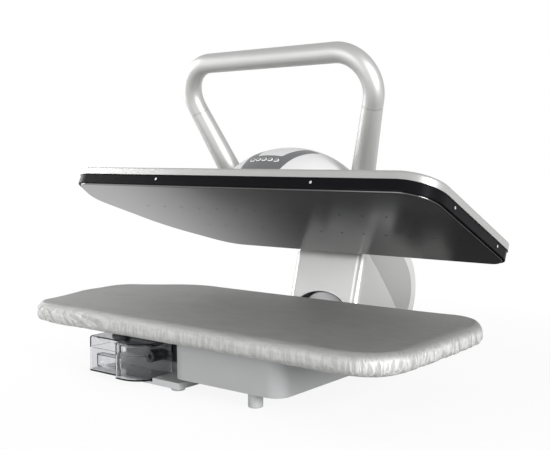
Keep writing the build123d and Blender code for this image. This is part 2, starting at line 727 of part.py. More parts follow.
# Pressing plate: cast soleplate in a black frame under a silver cover
sole_top = sole_bottom + SOLE_THICK

with BuildPart() as soleplate:
    add(slab(head.top(sole_bottom), plate_plan, SOLE_THICK, -SOLE_INSET))
    under = soleplate.faces().sort_by_distance(head.point(0, 0, 0))[0]
    fillet(under.edges(), SOLE_EDGE_R)
    with BuildSketch(head.top(sole_bottom)):
        for row, (nose, end) in enumerate(zip(STEAM_NOSE_MARGINS, STEAM_END_MARGINS)):
            pitch = (plate_right - end - plate_left - nose) / (STEAM_COUNT - 1)
            row_y = PLATE_FRONT + STEAM_ROW_IN + STEAM_ROW_APART * row
            with Locations(*[(plate_left + nose + pitch * index, row_y) for index in range(STEAM_COUNT)]):
                Circle(STEAM_HOLE_R)
    extrude(amount=SOLE_THICK, mode=Mode.SUBTRACT)
write(soleplate, "soleplate")

with BuildPart() as heating_element:
    element_z = sole_top + ELEMENT_R
    front_run = PLATE_FRONT + ELEMENT_SIDE
    rear_run = PLATE_REAR - ELEMENT_SIDE
    loop_tip = (plate_left + ELEMENT_NOSE, (front_run + rear_run) / 2)
    loop_start = loop_tip[0] + (rear_run - front_run) / 2
    loop_end = plate_right - ELEMENT_END
    with BuildLine(head.top(element_z)) as loop:
        Line((loop_end, front_run), (loop_start, front_run))
        ThreePointArc((loop_start, front_run), loop_tip, (loop_start, rear_run))
        Line((loop_start, rear_run), (loop_end, rear_run))
    with BuildSketch(Plane(loop.line @ 0, z_dir=loop.line % 0)):
        Circle(ELEMENT_R)
    sweep()
write(heating_element, "heating_element")

with BuildPart() as thermostat:
    with BuildSketch(head.top(sole_top)):
        Circle(THERMOSTAT_R)
    extrude(amount=THERMOSTAT_HIGH)
write(thermostat, "thermostat")

with BuildPart() as plate_frame:
    add(slab(head.top(frame_bottom), plate_plan, FRAME_HEIGHT))
    add(slab(head.top(frame_bottom), plate_plan, FRAME_HEIGHT, -FRAME_BAND), mode=Mode.SUBTRACT)
    sole_seat = slab(head.top(frame_bottom), plate_plan, sole_top + FIT - frame_bottom, FIT - SOLE_INSET)
    add(sole_seat, mode=Mode.SUBTRACT)
write(plate_frame, "plate_frame")

with BuildPart() as plate_cover:
    add(slab(head.top(frame_top), plate_plan, COVER_EDGE, COVER_LIP))
    top_face = plate_cover.faces().sort_by_distance(head.point(0, 0, cover_top))[0]
    fillet(top_face.edges(), COVER_EDGE_R)
    cover_space = slab(head.top(frame_top), plate_plan, COVER_EDGE - COVER_SHEET, COVER_LIP - COVER_RIM)
    add(cover_space, mode=Mode.SUBTRACT)
write(plate_cover, "plate_cover")

with BuildPart() as frame_screws:
    screw_z = frame_bottom + FRAME_HEIGHT / 2
    for edge_y, reach in ((PLATE_FRONT, FRAME_SCREW_HEAD), (PLATE_REAR, -FRAME_SCREW_HEAD)):
        with BuildSketch(head.front(edge_y)):
            with Locations(*[(x, screw_z) for x in FRAME_SCREW_X]):
                Circle(FRAME_SCREW_R)
        extrude(amount=reach)
    with BuildSketch(head.side(plate_right)):
        with Locations(*[(y, screw_z) for y in FRAME_SCREW_Y]):
            Circle(FRAME_SCREW_R)
    extrude(amount=FRAME_SCREW_HEAD)
write(frame_screws, "frame_screws")


# Arm: covers round two steel levers that turn on the shaft
crown_tangent = (-sin(radians(ARM_BACK_TO)), cos(radians(ARM_BACK_TO)))


def on_back(radius, angle):
    """Point on a circle about the middle of the arm's round back, in the side view."""
    return (arm_back_y + radius * cos(radians(angle)), arm_back_z + radius * sin(radians(angle)))


def arm_profile(inset):
    """Side view of the arm; the inset follows its front, crown and back, and leaves the rest open."""
    radius = ARM_BACK_R - inset
    low = degrees(asin((ARM_BOTTOM - arm_back_z) / radius))
    start, middle, end = (on_back(radius, angle) for angle in (ARM_BACK_TO, (ARM_BACK_TO + low) / 2, low))
    crown = (ARM_HEAD_Y, ARM_HEAD_TOP - inset)
    with BuildSketch() as profile:
        with BuildLine():
            Polyline(end, (ARM_FRONT_LOW + inset, ARM_BOTTOM), (ARM_FRONT_HIGH + inset, arm_floor),
                     (ARM_HEAD_Y, arm_floor), crown)
            TangentArc(start, crown, tangent=crown_tangent)
            ThreePointArc(start, middle, end)
        make_face()
    return profile.sketch


def arm_block(inset):
    """Solid of the arm's outside, or of the space inside it, with rounded long edges."""
    half = ARM_HALF - inset
    front_middle = ((ARM_FRONT_LOW + ARM_FRONT_HIGH) / 2 + inset, (ARM_BOTTOM + arm_floor) / 2)
    with BuildPart() as block:
        with BuildSketch(head.side(0)):
            add(arm_profile(inset))
        extrude(amount=half, both=True)
        for x in (-half, half):
            flank = block.faces().sort_by_distance(head.point(x, arm_back_y, arm_back_z))[0]
            front_edge = flank.edges().sort_by_distance(head.point(x, *front_middle))[0]
            fillet(flank.edges().filter_by(GeomType.CIRCLE) + [front_edge], ARM_EDGE_R - inset)
    return block.part


def side_slab(profile):
    """Prism across the arm's whole width through a side view."""
    with BuildPart() as prism:
        with BuildSketch(head.side(0)):
            add(profile)
        extrude(amount=2 * ARM_HALF, both=True)
    return prism.part


def spine_inside(depth):
    """Side view of what lies inside the back cover's seam."""
    radius = ARM_BACK_R - depth
    middle_angle = (ARM_BACK_TO + SPINE_END) / 2
    start, middle, end = (on_back(radius, angle) for angle in (ARM_BACK_TO, middle_angle, SPINE_END))
    crown = (ARM_HEAD_Y, ARM_HEAD_TOP - depth)
    with BuildSketch() as profile:
        with BuildLine():
            Polyline(end, (end[0], 0), (0, 0), (0, ARM_HEAD_TOP - depth), crown)
            TangentArc(start, crown, tangent=crown_tangent)
            ThreePointArc(start, middle, end)
        make_face()
    return profile.sketch


def skirt(grow):
    """Side view of the front cover: all that lies under its swept upper edge."""
    front_y = ARM_FRONT_HIGH - ARM_WALL
    back_y = arm_back_y + ARM_BACK_R
    start = (front_y, SKIRT_FRONT_Z + grow)
    end = (back_y, SKIRT_FRONT_Z - SKIRT_SLOPE * (back_y - front_y) + grow)
    middle = ((start[0] + end[0]) / 2, (start[1] + end[1]) / 2 + SKIRT_BOW)
    with BuildSketch() as profile:
        with BuildLine():
            ThreePointArc(start, middle, end)
            Polyline(end, (back_y, 0), (front_y, 0), start)
        make_face()
    return profile.sketch


with BuildPart() as arm_shell:
    add(arm_block(0))
    add(arm_block(ARM_WALL), mode=Mode.SUBTRACT)

with BuildPart() as arm_back_cover:
    add(arm_shell.part)
    add(side_slab(spine_inside(SPINE_DEPTH)), mode=Mode.SUBTRACT)
write(arm_back_cover, "arm_back_cover")

with BuildPart() as arm_body_cover:
    add(arm_shell.part)
    add(side_slab(spine_inside(SPINE_DEPTH + SEAM_GAP)), mode=Mode.INTERSECT)
    add(side_slab(skirt(SEAM_GAP)), mode=Mode.SUBTRACT)
write(arm_body_cover, "arm_body_cover")

with BuildPart() as arm_front_cover:
    add(arm_shell.part)
    add(side_slab(spine_inside(SPINE_DEPTH + SEAM_GAP)), mode=Mode.INTERSECT)
    add(side_slab(skirt(0)), mode=Mode.INTERSECT)
    with BuildSketch(head.front(ARM_FRONT_LOW + ARM_WALL * 2)):
        with Locations((0, ARCH_TOP - ARCH_RISE)):
            Ellipse(ARCH_HALF, ARCH_RISE)
    extrude(amount=ARM_FRONT_LOW - ARM_FRONT_HIGH + ARM_WALL * 4, mode=Mode.SUBTRACT)
write(arm_front_cover, "arm_front_cover")


def lever(name, inside):
    """Steel lever from its hub on the shaft up through the arm to the head frame."""
    away = 1 if inside > 0 else -1
    with BuildPart() as piece:
        with BuildSketch(head.side(inside)):
            with BuildLine():
                Polyline((PIVOT_Y + HUB_R, PIVOT_Z), (PIVOT_Y, tie_z - LEVER_WIDTH),
                         (TIE_Y, tie_z + 2 * TIE_R), (LEVER_HEAD_Y, head_frame_top + LEVER_WIDTH),
                         (LEVER_HEAD_Y, head_frame_top),
                         (PLATE_REAR, head_frame_top), (PLATE_REAR + LEVER_SHEET, lever_floor),
                         (TIE_Y - 2 * LEVER_WIDTH, lever_floor), (PIVOT_Y - HUB_R, PIVOT_Z), close=True)
            make_face()
            with Locations((PIVOT_Y, PIVOT_Z)):
                Circle(HUB_R)
        extrude(amount=away * LEVER_SHEET)
        with BuildSketch(head.side(inside)):
            with Locations((PIVOT_Y, PIVOT_Z)):
                Circle(HUB_R)
        extrude(amount=away * (LEVER_SHEET + HUB_BOSS))
        with BuildSketch(head.side(inside)):
            with Locations((PIVOT_Y, PIVOT_Z)):
                Circle(SHAFT_R + SHAFT_PLAY)
        extrude(amount=away * (LEVER_SHEET + HUB_BOSS), mode=Mode.SUBTRACT)
    write(piece, name)


lever("lever_left", -LEVER_INSIDE)
lever("lever_right", LEVER_INSIDE)

with BuildPart() as lever_tie:
    with BuildSketch(head.side(-LEVER_INSIDE)):
        with Locations((TIE_Y, tie_z)):
            Circle(TIE_R)
            Circle(TIE_R - TIE_WALL, mode=Mode.SUBTRACT)
    extrude(amount=2 * LEVER_INSIDE)
write(lever_tie, "lever_tie")

with BuildPart() as head_frame:
    with BuildSketch(head.top(cover_top)):
        with Locations((0, (LEVER_HEAD_Y + PLATE_REAR) / 2)):
            Rectangle(2 * (lever_outside + LEVER_SHEET), PLATE_REAR - LEVER_HEAD_Y)
        with Locations((0, HANDLE_FOOT_Y)):
            RectangleRounded(2 * HEAD_WING, HEAD_WING_DEPTH, FOOT_R)
    extrude(amount=HEAD_FRAME_SHEET)
write(head_frame, "head_frame")

# Handle: a tube bow over two tapered legs that stand on the head frame
leg_run = HANDLE_BAR_HALF - HANDLE_FOOT_X
leg_rise = sqrt((HANDLE_FOOT_Y - HANDLE_BAR_Y) ** 2 + (HANDLE_BAR_Z - cover_top) ** 2)
leg_length = sqrt(leg_run ** 2 + leg_rise ** 2)
bar_middle = head.point(0, HANDLE_BAR_Y, HANDLE_BAR_Z)
foot_middle = head.point(0, HANDLE_FOOT_Y, cover_top)
handle_up = (bar_middle - foot_middle).normalized()
handle_plane = Plane(bar_middle, x_dir=head.plane.x_dir, z_dir=head.plane.x_dir.cross(handle_up))


def on_leg(side, distance):
    """Point on a leg's middle line, measured down from the corner with the bar."""
    return (side * (HANDLE_BAR_HALF - leg_run * distance / leg_length), -leg_rise * distance / leg_length)


with BuildPart() as handle_bow:
    with BuildLine(handle_plane) as bow_path:
        FilletPolyline(on_leg(-1, HANDLE_SEAM), (-HANDLE_BAR_HALF, 0), (HANDLE_BAR_HALF, 0),
                       on_leg(1, HANDLE_SEAM), radius=HANDLE_BEND_R)
    with BuildSketch(Plane(bow_path.line @ 0, x_dir=handle_plane.z_dir, z_dir=bow_path.line % 0)):
        Circle(HANDLE_TUBE / 2)
        Circle(HANDLE_TUBE / 2 - HANDLE_WALL, mode=Mode.SUBTRACT)
    sweep()
write(handle_bow, "handle_bow")


def leg_plane(side, distance):
    """Plane across a leg at a distance down from the corner with the bar."""
    start = handle_plane.from_local_coords((*on_leg(side, 0), 0))
    spot = handle_plane.from_local_coords((*on_leg(side, distance), 0))
    ahead = handle_plane.from_local_coords((*on_leg(side, leg_length), 0))
    return Plane(spot, x_dir=handle_plane.z_dir, z_dir=ahead - start)


def leg_block(side, grow):
    """A leg that swells from the bow's section to its foot, cut level on the head frame."""
    top = HANDLE_SEAM + SEAM_GAP
    with BuildPart(leg_plane(side, top)) as block:
        Cone(HANDLE_TUBE / 2 + grow, HANDLE_FOOT_TUBE / 2 + grow, leg_length + HANDLE_FOOT_TUBE - top,
             align=(Align.CENTER, Align.CENTER, Align.MIN))
        split(bisect_by=head.top(head_frame_top), keep=Keep.TOP)
    return block.part


for side, name in ((-1, "handle_leg_left"), (1, "handle_leg_right")):
    with BuildPart() as handle_leg:
        add(leg_block(side, 0))
        add(leg_block(side, -HANDLE_WALL), mode=Mode.SUBTRACT)
    write(handle_leg, name)


# Head shell: a cap of a spheroid, parted for the control panel, the arm and the legs
def dome_block(inset):
    """Cap of the spheroid above the plate cover."""
    with BuildPart() as block:
        with BuildSketch(head.top(dome_axis_z)):
            with Locations((0, DOME_Y)):
                Ellipse(DOME_HALF - inset, DOME_R - inset)
            with Locations((0, DOME_Y - DOME_R)):
                Rectangle(3 * DOME_HALF, 2 * DOME_R, mode=Mode.SUBTRACT)
        revolve(axis=Axis(head.point(0, DOME_Y, dome_axis_z), head.plane.x_dir), revolution_arc=180)
        split(bisect_by=head.top(cover_top), keep=Keep.TOP)
    return block.part


def panel_block(grow):
    """Prism of the control panel: a broad foot and two arms that rise round the crown."""
    right = [(PANEL_FOOT_HALF, -PANEL_FOOT), (PANEL_BROW_HALF, -PANEL_BROW),
             (PANEL_TIP_HALF, PANEL_TIP), (PANEL_TIP_HALF - PANEL_ARM, PANEL_TIP - PANEL_BROW),
             (PANEL_BROW_HALF - PANEL_ARM, -PANEL_BROW)]
    left = [(-x, y) for x, y in reversed(right)]
    with BuildPart() as block:
        with BuildSketch(head.tilted(DOME_Y, dome_axis_z, PANEL_TILT).offset(DOME_R / 2)) as outline:
            with BuildLine():
                Polyline(*right, *left, close=True)
            make_face()
            fillet(outline.vertices(), PANEL_CORNER_R)
            if grow:
                offset(amount=grow)
        extrude(amount=DOME_R)
    return block.part


button_plane = head.tilted(DOME_Y, dome_axis_z, BUTTON_TILT)
button_spots = [BUTTON_PITCH * (index - (BUTTON_COUNT - 1) / 2) for index in range(BUTTON_COUNT)]


def dome_height(x):
    """Distance of the dome's skin from its axis at x."""
    return DOME_R * sqrt(1 - (x / DOME_HALF) ** 2)


with BuildPart() as dome_shell:
    add(dome_block(0))
    add(dome_block(DOME_WALL), mode=Mode.SUBTRACT)

with BuildPart() as head_shell:
    add(dome_shell.part)
    add(panel_block(SEAM_GAP), mode=Mode.SUBTRACT)
    add(arm_block(-SEAM_GAP), mode=Mode.SUBTRACT)
    add(leg_block(-1, LEG_HOLE_PLAY), mode=Mode.SUBTRACT)
    add(leg_block(1, LEG_HOLE_PLAY), mode=Mode.SUBTRACT)
write(head_shell, "head_shell")

with BuildPart() as control_panel:
    add(dome_shell.part)
    add(panel_block(0), mode=Mode.INTERSECT)
    with BuildSketch(button_plane.offset(DOME_R / 2)):
        with Locations(*[(x, 0) for x in button_spots]):
            Circle(BUTTON_R + BUTTON_PLAY)
    extrude(amount=DOME_R, mode=Mode.SUBTRACT)
write(control_panel, "control_panel")

for index, x in enumerate(button_spots):
    with BuildPart() as button:
        with BuildSketch(button_plane.offset(dome_height(x) + BUTTON_PROUD - BUTTON_LENGTH)):
            with Locations((x, 0)):
                Circle(BUTTON_R)
        extrude(amount=BUTTON_LENGTH)
        above = button_plane.from_local_coords((x, 0, 2 * DOME_R))
        fillet(button.faces().sort_by_distance(above)[0].edges(), BUTTON_EDGE_R)
    write(button, f"button_{index + 1}")

with BuildPart() as control_board:
    lowest = dome_height(button_spots[0]) + BUTTON_PROUD - BUTTON_LENGTH - BUTTON_TRAVEL - SEAM_GAP
    with BuildSketch(button_plane.offset(lowest - BOARD_SHEET)):
        Rectangle(CONTROL_LENGTH, CONTROL_DEPTH)
    extrude(amount=BOARD_SHEET)
write(control_board, "control_board")
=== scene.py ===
"""Dresses a tabletop steam ironing press: padded cover, finishes, studio and camera.

Lengths are in metres, in the frame of the solids: +X to the board's blunt end, +Y to the hinge.
"""
import json
import math

import bmesh
import bpy
from bpy.props import FloatProperty, FloatVectorProperty, IntProperty, PointerProperty
from bpy.types import Operator, Panel, PropertyGroup
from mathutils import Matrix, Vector, noise


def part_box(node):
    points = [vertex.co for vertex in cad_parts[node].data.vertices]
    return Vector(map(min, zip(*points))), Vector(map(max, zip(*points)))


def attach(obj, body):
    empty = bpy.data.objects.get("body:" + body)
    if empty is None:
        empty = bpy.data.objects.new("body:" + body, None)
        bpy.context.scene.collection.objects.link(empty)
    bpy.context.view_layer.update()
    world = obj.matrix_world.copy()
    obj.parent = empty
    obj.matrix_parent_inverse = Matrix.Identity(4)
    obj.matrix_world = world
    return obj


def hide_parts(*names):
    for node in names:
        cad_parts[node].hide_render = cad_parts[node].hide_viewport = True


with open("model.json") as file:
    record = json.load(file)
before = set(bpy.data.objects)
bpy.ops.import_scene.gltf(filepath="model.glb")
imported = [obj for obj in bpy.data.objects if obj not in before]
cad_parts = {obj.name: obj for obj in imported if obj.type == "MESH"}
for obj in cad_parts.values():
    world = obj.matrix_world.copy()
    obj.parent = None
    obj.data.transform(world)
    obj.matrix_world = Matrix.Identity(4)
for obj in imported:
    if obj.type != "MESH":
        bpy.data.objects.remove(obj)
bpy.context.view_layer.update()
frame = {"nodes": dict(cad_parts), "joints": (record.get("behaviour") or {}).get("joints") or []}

bl_info = {
    "name": "Steam Ironing Press",
    "version": (1, 0, 0),
    "blender": (4, 5, 0),
    "location": "View3D > Sidebar > Press",
    "description": "Dresses a tabletop steam ironing press and sets its studio",
    "category": "Object",
}

nodes = frame["nodes"]
cover_low, cover_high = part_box("board_cover")
board_middle = (cover_low + cover_high) / 2
hinge = next(joint for joint in frame["joints"] if joint["name"] == "press_hinge")
open_angle = math.radians(hinge["range_deg"][1])


def colour_property(name, description, default):
    """A plain colour that the sidebar can change."""
    return FloatVectorProperty(name=name, description=description, subtype="COLOR", size=3,
                               min=0.0, max=1.0, default=default)


class PressCloth(PropertyGroup):
    """Sizes and colours of the padded cover."""
    step: FloatProperty(name="Step", description="Distance between points round the rim", unit="LENGTH",
                        default=0.0022, min=0.001, max=0.02)
    edge_radius: FloatProperty(name="Edge radius", description="Rounding of the pad's upper edge",
                               unit="LENGTH", default=0.014)
    hem_radius: FloatProperty(name="Hem radius", description="Rounding where the sides are drawn in",
                              unit="LENGTH", default=0.008)
    hem_width: FloatProperty(name="Hem", description="Width of the hem drawn under the board",
                             unit="LENGTH", default=0.016)
    fold_depth: FloatProperty(name="Fold depth", description="Deepest gather along the side",
                              unit="LENGTH", default=0.0024)
    fold_pitch: FloatProperty(name="Fold pitch", description="Usual distance between gathers",
                              unit="LENGTH", default=0.014)
    fold_seed: IntProperty(name="Seed", description="Changes the run of the gathers", default=7)
    settle_frames: IntProperty(name="Settling", description="Frames in which the cloth settles", default=20)
    settle_cap: FloatProperty(name="Most settling", description="Furthest that a point may settle",
                              unit="LENGTH", default=0.0025)
    colour: colour_property("Cloth", "Silver-grey coated cloth", (0.20, 0.20, 0.197))
    # Lighter tone: rubbed streaks on the top, and painted light on the gathered sides
    rubbed_and_lit: colour_property("Crease", "Cloth where the coat is rubbed", (0.66, 0.66, 0.65))


class PressPaint(PropertyGroup):
    """Colours of the rigid pieces."""
    silver: colour_property("Silver paint", "Handle, plate cover and arm", (0.47, 0.47, 0.465))
    shell: colour_property("Shell", "Pale plastic of the head", (0.78, 0.78, 0.78))
    back: colour_property("Arm back", "Pale plastic of the arm's back", (0.60, 0.60, 0.60))
    grey: colour_property("Base grey", "Grey plastic of the base", (0.39, 0.393, 0.397))
    dark: colour_property("Dark plastic", "Control panel and dock", (0.075, 0.077, 0.08))
    black: colour_property("Black frame", "Glossy black rim of the plate", (0.006, 0.006, 0.007))
    sole: colour_property("Soleplate", "Coated cast aluminium", (0.26, 0.26, 0.262))
    steel: colour_property("Steel", "Plated steel", (0.62, 0.62, 0.61))
    tank: colour_property("Tank", "Smoky clear plastic", (0.84, 0.845, 0.86))


class PressStudio(PropertyGroup):
    """Light and camera."""
    front_power: FloatProperty(name="Front", description="Power of the low lamp in front", unit="POWER",
                               default=17.0)
    left_power: FloatProperty(name="Left", description="Power of the near lamp at the left", unit="POWER",
                              default=10.5)
    side_power: FloatProperty(name="Side", description="Power of the lamp at the right", unit="POWER",
                              default=48.0)
    ambient: FloatProperty(name="Ambient", description="Strength of the light from all round", default=0.32)
    mirrored: FloatProperty(name="Mirrored", description="Brightness of the surroundings in reflections",
                            default=0.80)
    floor_glow: FloatProperty(name="Floor glow", description="Share of plain white in the floor near by",
                              default=0.90)
    # Painted shadow: the floor's brightness near the press, in reflections only
    mirrored_floor_shadow: FloatProperty(name="Floor shine", default=0.08,
                               description="Brightness of the floor behind the press where it is mirrored")
    floor_size: FloatProperty(name="Floor", description="Length of the floor's side", unit="LENGTH",
                              default=12.0)
    camera_at: FloatVectorProperty(name="Camera", description="Where the camera stands", unit="LENGTH",
                                   default=(0.82289, -1.10388, 0.32583))
    camera_aim: FloatVectorProperty(name="Aim", description="What the camera looks at", unit="LENGTH",
                                    default=(0.06235, -0.12021, 0.22994))
    lens: FloatProperty(name="Lens", description="Focal length on a 36 mm wide film, in mm", default=57.52)


class Link:
    """A number in a material, which adds Math nodes when it is used in an expression."""

    def __init__(self, finish, socket):
        self.finish = finish
        self.socket = socket

    def joined(self, operation, first, second):
        return self.finish.node("ShaderNodeMath", {"operation": operation}, {0: first, 1: second})

    def __add__(self, other):
        return self.joined("ADD", self, other)

    def __radd__(self, other):
        return self.joined("ADD", other, self)

    def __sub__(self, other):
        return self.joined("SUBTRACT", self, other)

    def __rsub__(self, other):
        return self.joined("SUBTRACT", other, self)

    def __mul__(self, other):
        return self.joined("MULTIPLY", self, other)

    def __rmul__(self, other):
        return self.joined("MULTIPLY", other, self)

    def __pow__(self, other):
        return self.joined("POWER", self, other)


class Finish:
    """One material: a principled shader and the nodes that feed it."""

    def __init__(self, name, **fixed):
        self.material = bpy.data.materials.new(name)
        self.material.use_nodes = True
        self.tree = self.material.node_tree
        self.shader = next(n for n in self.tree.nodes if n.type == "BSDF_PRINCIPLED")
        for socket, value in fixed.items():
            self.feed(socket.replace("_", " ").title().replace("Ior", "IOR"), value)

    def node(self, kind, settings=None, inputs=None, output=0):
        """Add a node, set it up, fill or link its inputs and return one output."""
        added = self.tree.nodes.new(kind)
        for key, value in (settings or {}).items():
            setattr(added, key, value)
        for key, value in (inputs or {}).items():
            self.fill(added.inputs[key], value)
        return Link(self, added.outputs[output])

    def fill(self, socket, value):
        """Link a socket or set its constant."""
        if isinstance(value, Link):
            self.tree.links.new(value.socket, socket)
        elif socket.type == "RGBA":
            socket.default_value = (*value, 1.0)
        else:
            socket.default_value = value

    def feed(self, socket, value):
        """Give the shader a constant or a varying input."""
        self.fill(self.shader.inputs[socket], value)

    def place(self):
        """Position on the object, in metres."""
        return self.node("ShaderNodeTexCoord", output="Object")

    def along(self, axis):
        """One coordinate of the position."""
        return self.node("ShaderNodeSeparateXYZ", None, {0: self.place()}, "XYZ".index(axis))

    def stretched(self, factors):
        """Position with each axis scaled."""
        return self.node("ShaderNodeVectorMath", {"operation": "MULTIPLY"}, {0: self.place(), 1: factors})

    def noise(self, scale, detail=3.0, rough=0.55, factors=(1.0, 1.0, 1.0)):
        """Cloudy values from 0 to 1, with about scale blobs in a metre."""
        return self.node("ShaderNodeTexNoise", None,
                         {"Vector": self.stretched(factors), "Scale": scale, "Detail": detail,
                          "Roughness": rough})

    def band(self, value, low, high):
        """Smooth step of a value from 0 at low to 1 at high."""
        return self.node("ShaderNodeMapRange", {"interpolation_type": "SMOOTHSTEP"},
                         {0: value, 1: low, 2: high, 3: 0.0, 4: 1.0})

    def mixed(self, share, first, second):
        """Colour between two colours."""
        return self.node("ShaderNodeMix", {"data_type": "RGBA"}, {0: share, 6: first, 7: second}, 2)

    def emboss(self, height, depth, strength=1.0):
        """Raise the surface by a height from 0 to 1 times depth."""
        bump = self.node("ShaderNodeBump", None, {"Height": height, "Distance": depth, "Strength": strength})
        self.feed("Normal", bump)


def shade(colour, factor):
    """A lighter or darker colour."""
    return tuple(min(1.0, channel * factor) for channel in colour)


def satin_paint(name, colour, metal, gloss):
    """Sprayed paint with metal flakes, orange peel and a little wear in its gloss."""
    paint = Finish(name, metallic=metal, coat_weight=0.08, coat_roughness=0.3)
    flakes = paint.noise(5200.0, 1.0)
    clouds = paint.noise(9.0, 3.0)
    share = 0.65 * clouds + 0.35 * flakes
    paint.feed("Base Color", paint.mixed(share, shade(colour, 0.93), shade(colour, 1.07)))
    paint.feed("Roughness", gloss - 0.05 + 0.10 * clouds)
    paint.emboss(0.7 * paint.noise(900.0, 2.0) + 0.3 * flakes, 0.00012, 0.35)
    return paint.material


def moulded_plastic(name, colour, gloss, grain=1400.0, depth=0.00010):
    """Moulded plastic with a spark-eroded grain."""
    plastic = Finish(name, specular_ior_level=0.45)
    clouds = plastic.noise(14.0, 4.0)
    pits = plastic.noise(grain, 2.0)
    plastic.feed("Base Color", plastic.mixed(clouds, shade(colour, 0.95), shade(colour, 1.05)))
    plastic.feed("Roughness", gloss - 0.06 + 0.12 * pits)
    plastic.emboss(pits, depth, 0.5)
    return plastic.material


def plated_steel(name, colour, gloss):
    """Plated sheet steel with faint rolling marks."""
    steel = Finish(name, metallic=1.0)
    marks = steel.noise(60.0, 4.0, 0.6, (1.0, 18.0, 18.0))
    clouds = steel.noise(25.0, 3.0)
    steel.feed("Base Color", steel.mixed(marks, shade(colour, 0.88), shade(colour, 1.08)))
    steel.feed("Roughness", gloss - 0.06 + 0.14 * clouds)
    steel.emboss(marks, 0.00008, 0.3)
    return steel.material


def dressed(material, *names):
    """Give solids a finish."""
    for name in names:
        mesh = nodes[name].data
        mesh.materials.clear()
        mesh.materials.append(material)


def rounded_outline(corners, step):
    """Points and outward directions of a closed outline whose corners are rounded.

    Each corner is x, y and radius, in order against the clock. The points are step apart.
    """
    runs = []
    count = len(corners)
    for index, (x, y, radius) in enumerate(corners):
        here = Vector((x, y))
        before = (Vector(corners[index - 1][:2]) - here).normalized()
        after = (Vector(corners[(index + 1) % count][:2]) - here).normalized()
        half_turn = (math.pi - before.angle(after)) / 2
        reach = radius * math.tan(half_turn)
        start = here + before * reach
        out = Vector((-before.y, before.x))
        centre = start - out * radius
        runs.append((start, centre, radius, 2 * half_turn, out))
    points, normals = [], []
    for index, (start, centre, radius, turn, out) in enumerate(runs):
        pieces = max(2, round(radius * turn / step))
        first_angle = math.atan2(out.y, out.x)
        for piece in range(pieces):
            angle = first_angle + turn * piece / pieces
            normal = Vector((math.cos(angle), math.sin(angle)))
            points.append(centre + normal * radius)
            normals.append(normal)
        angle = first_angle + turn
        normal = Vector((math.cos(angle), math.sin(angle)))
        leave = centre + normal * radius
        arrive = runs[(index + 1) % count][0]
        pieces = max(1, round((arrive - leave).length / step))
        for piece in range(pieces):
            points.append(leave.lerp(arrive, piece / pieces))
            normals.append(normal)
    return points, normals


def smoothed(values, reach):
    """Running mean of a closed row of values."""
    count = len(values)
    total = sum(values[index % count] for index in range(-reach, reach + 1))
    result = []
    for index in range(count):
        result.append(total / (2 * reach + 1))
        total += values[(index + reach + 1) % count] - values[(index - reach) % count]
    return result


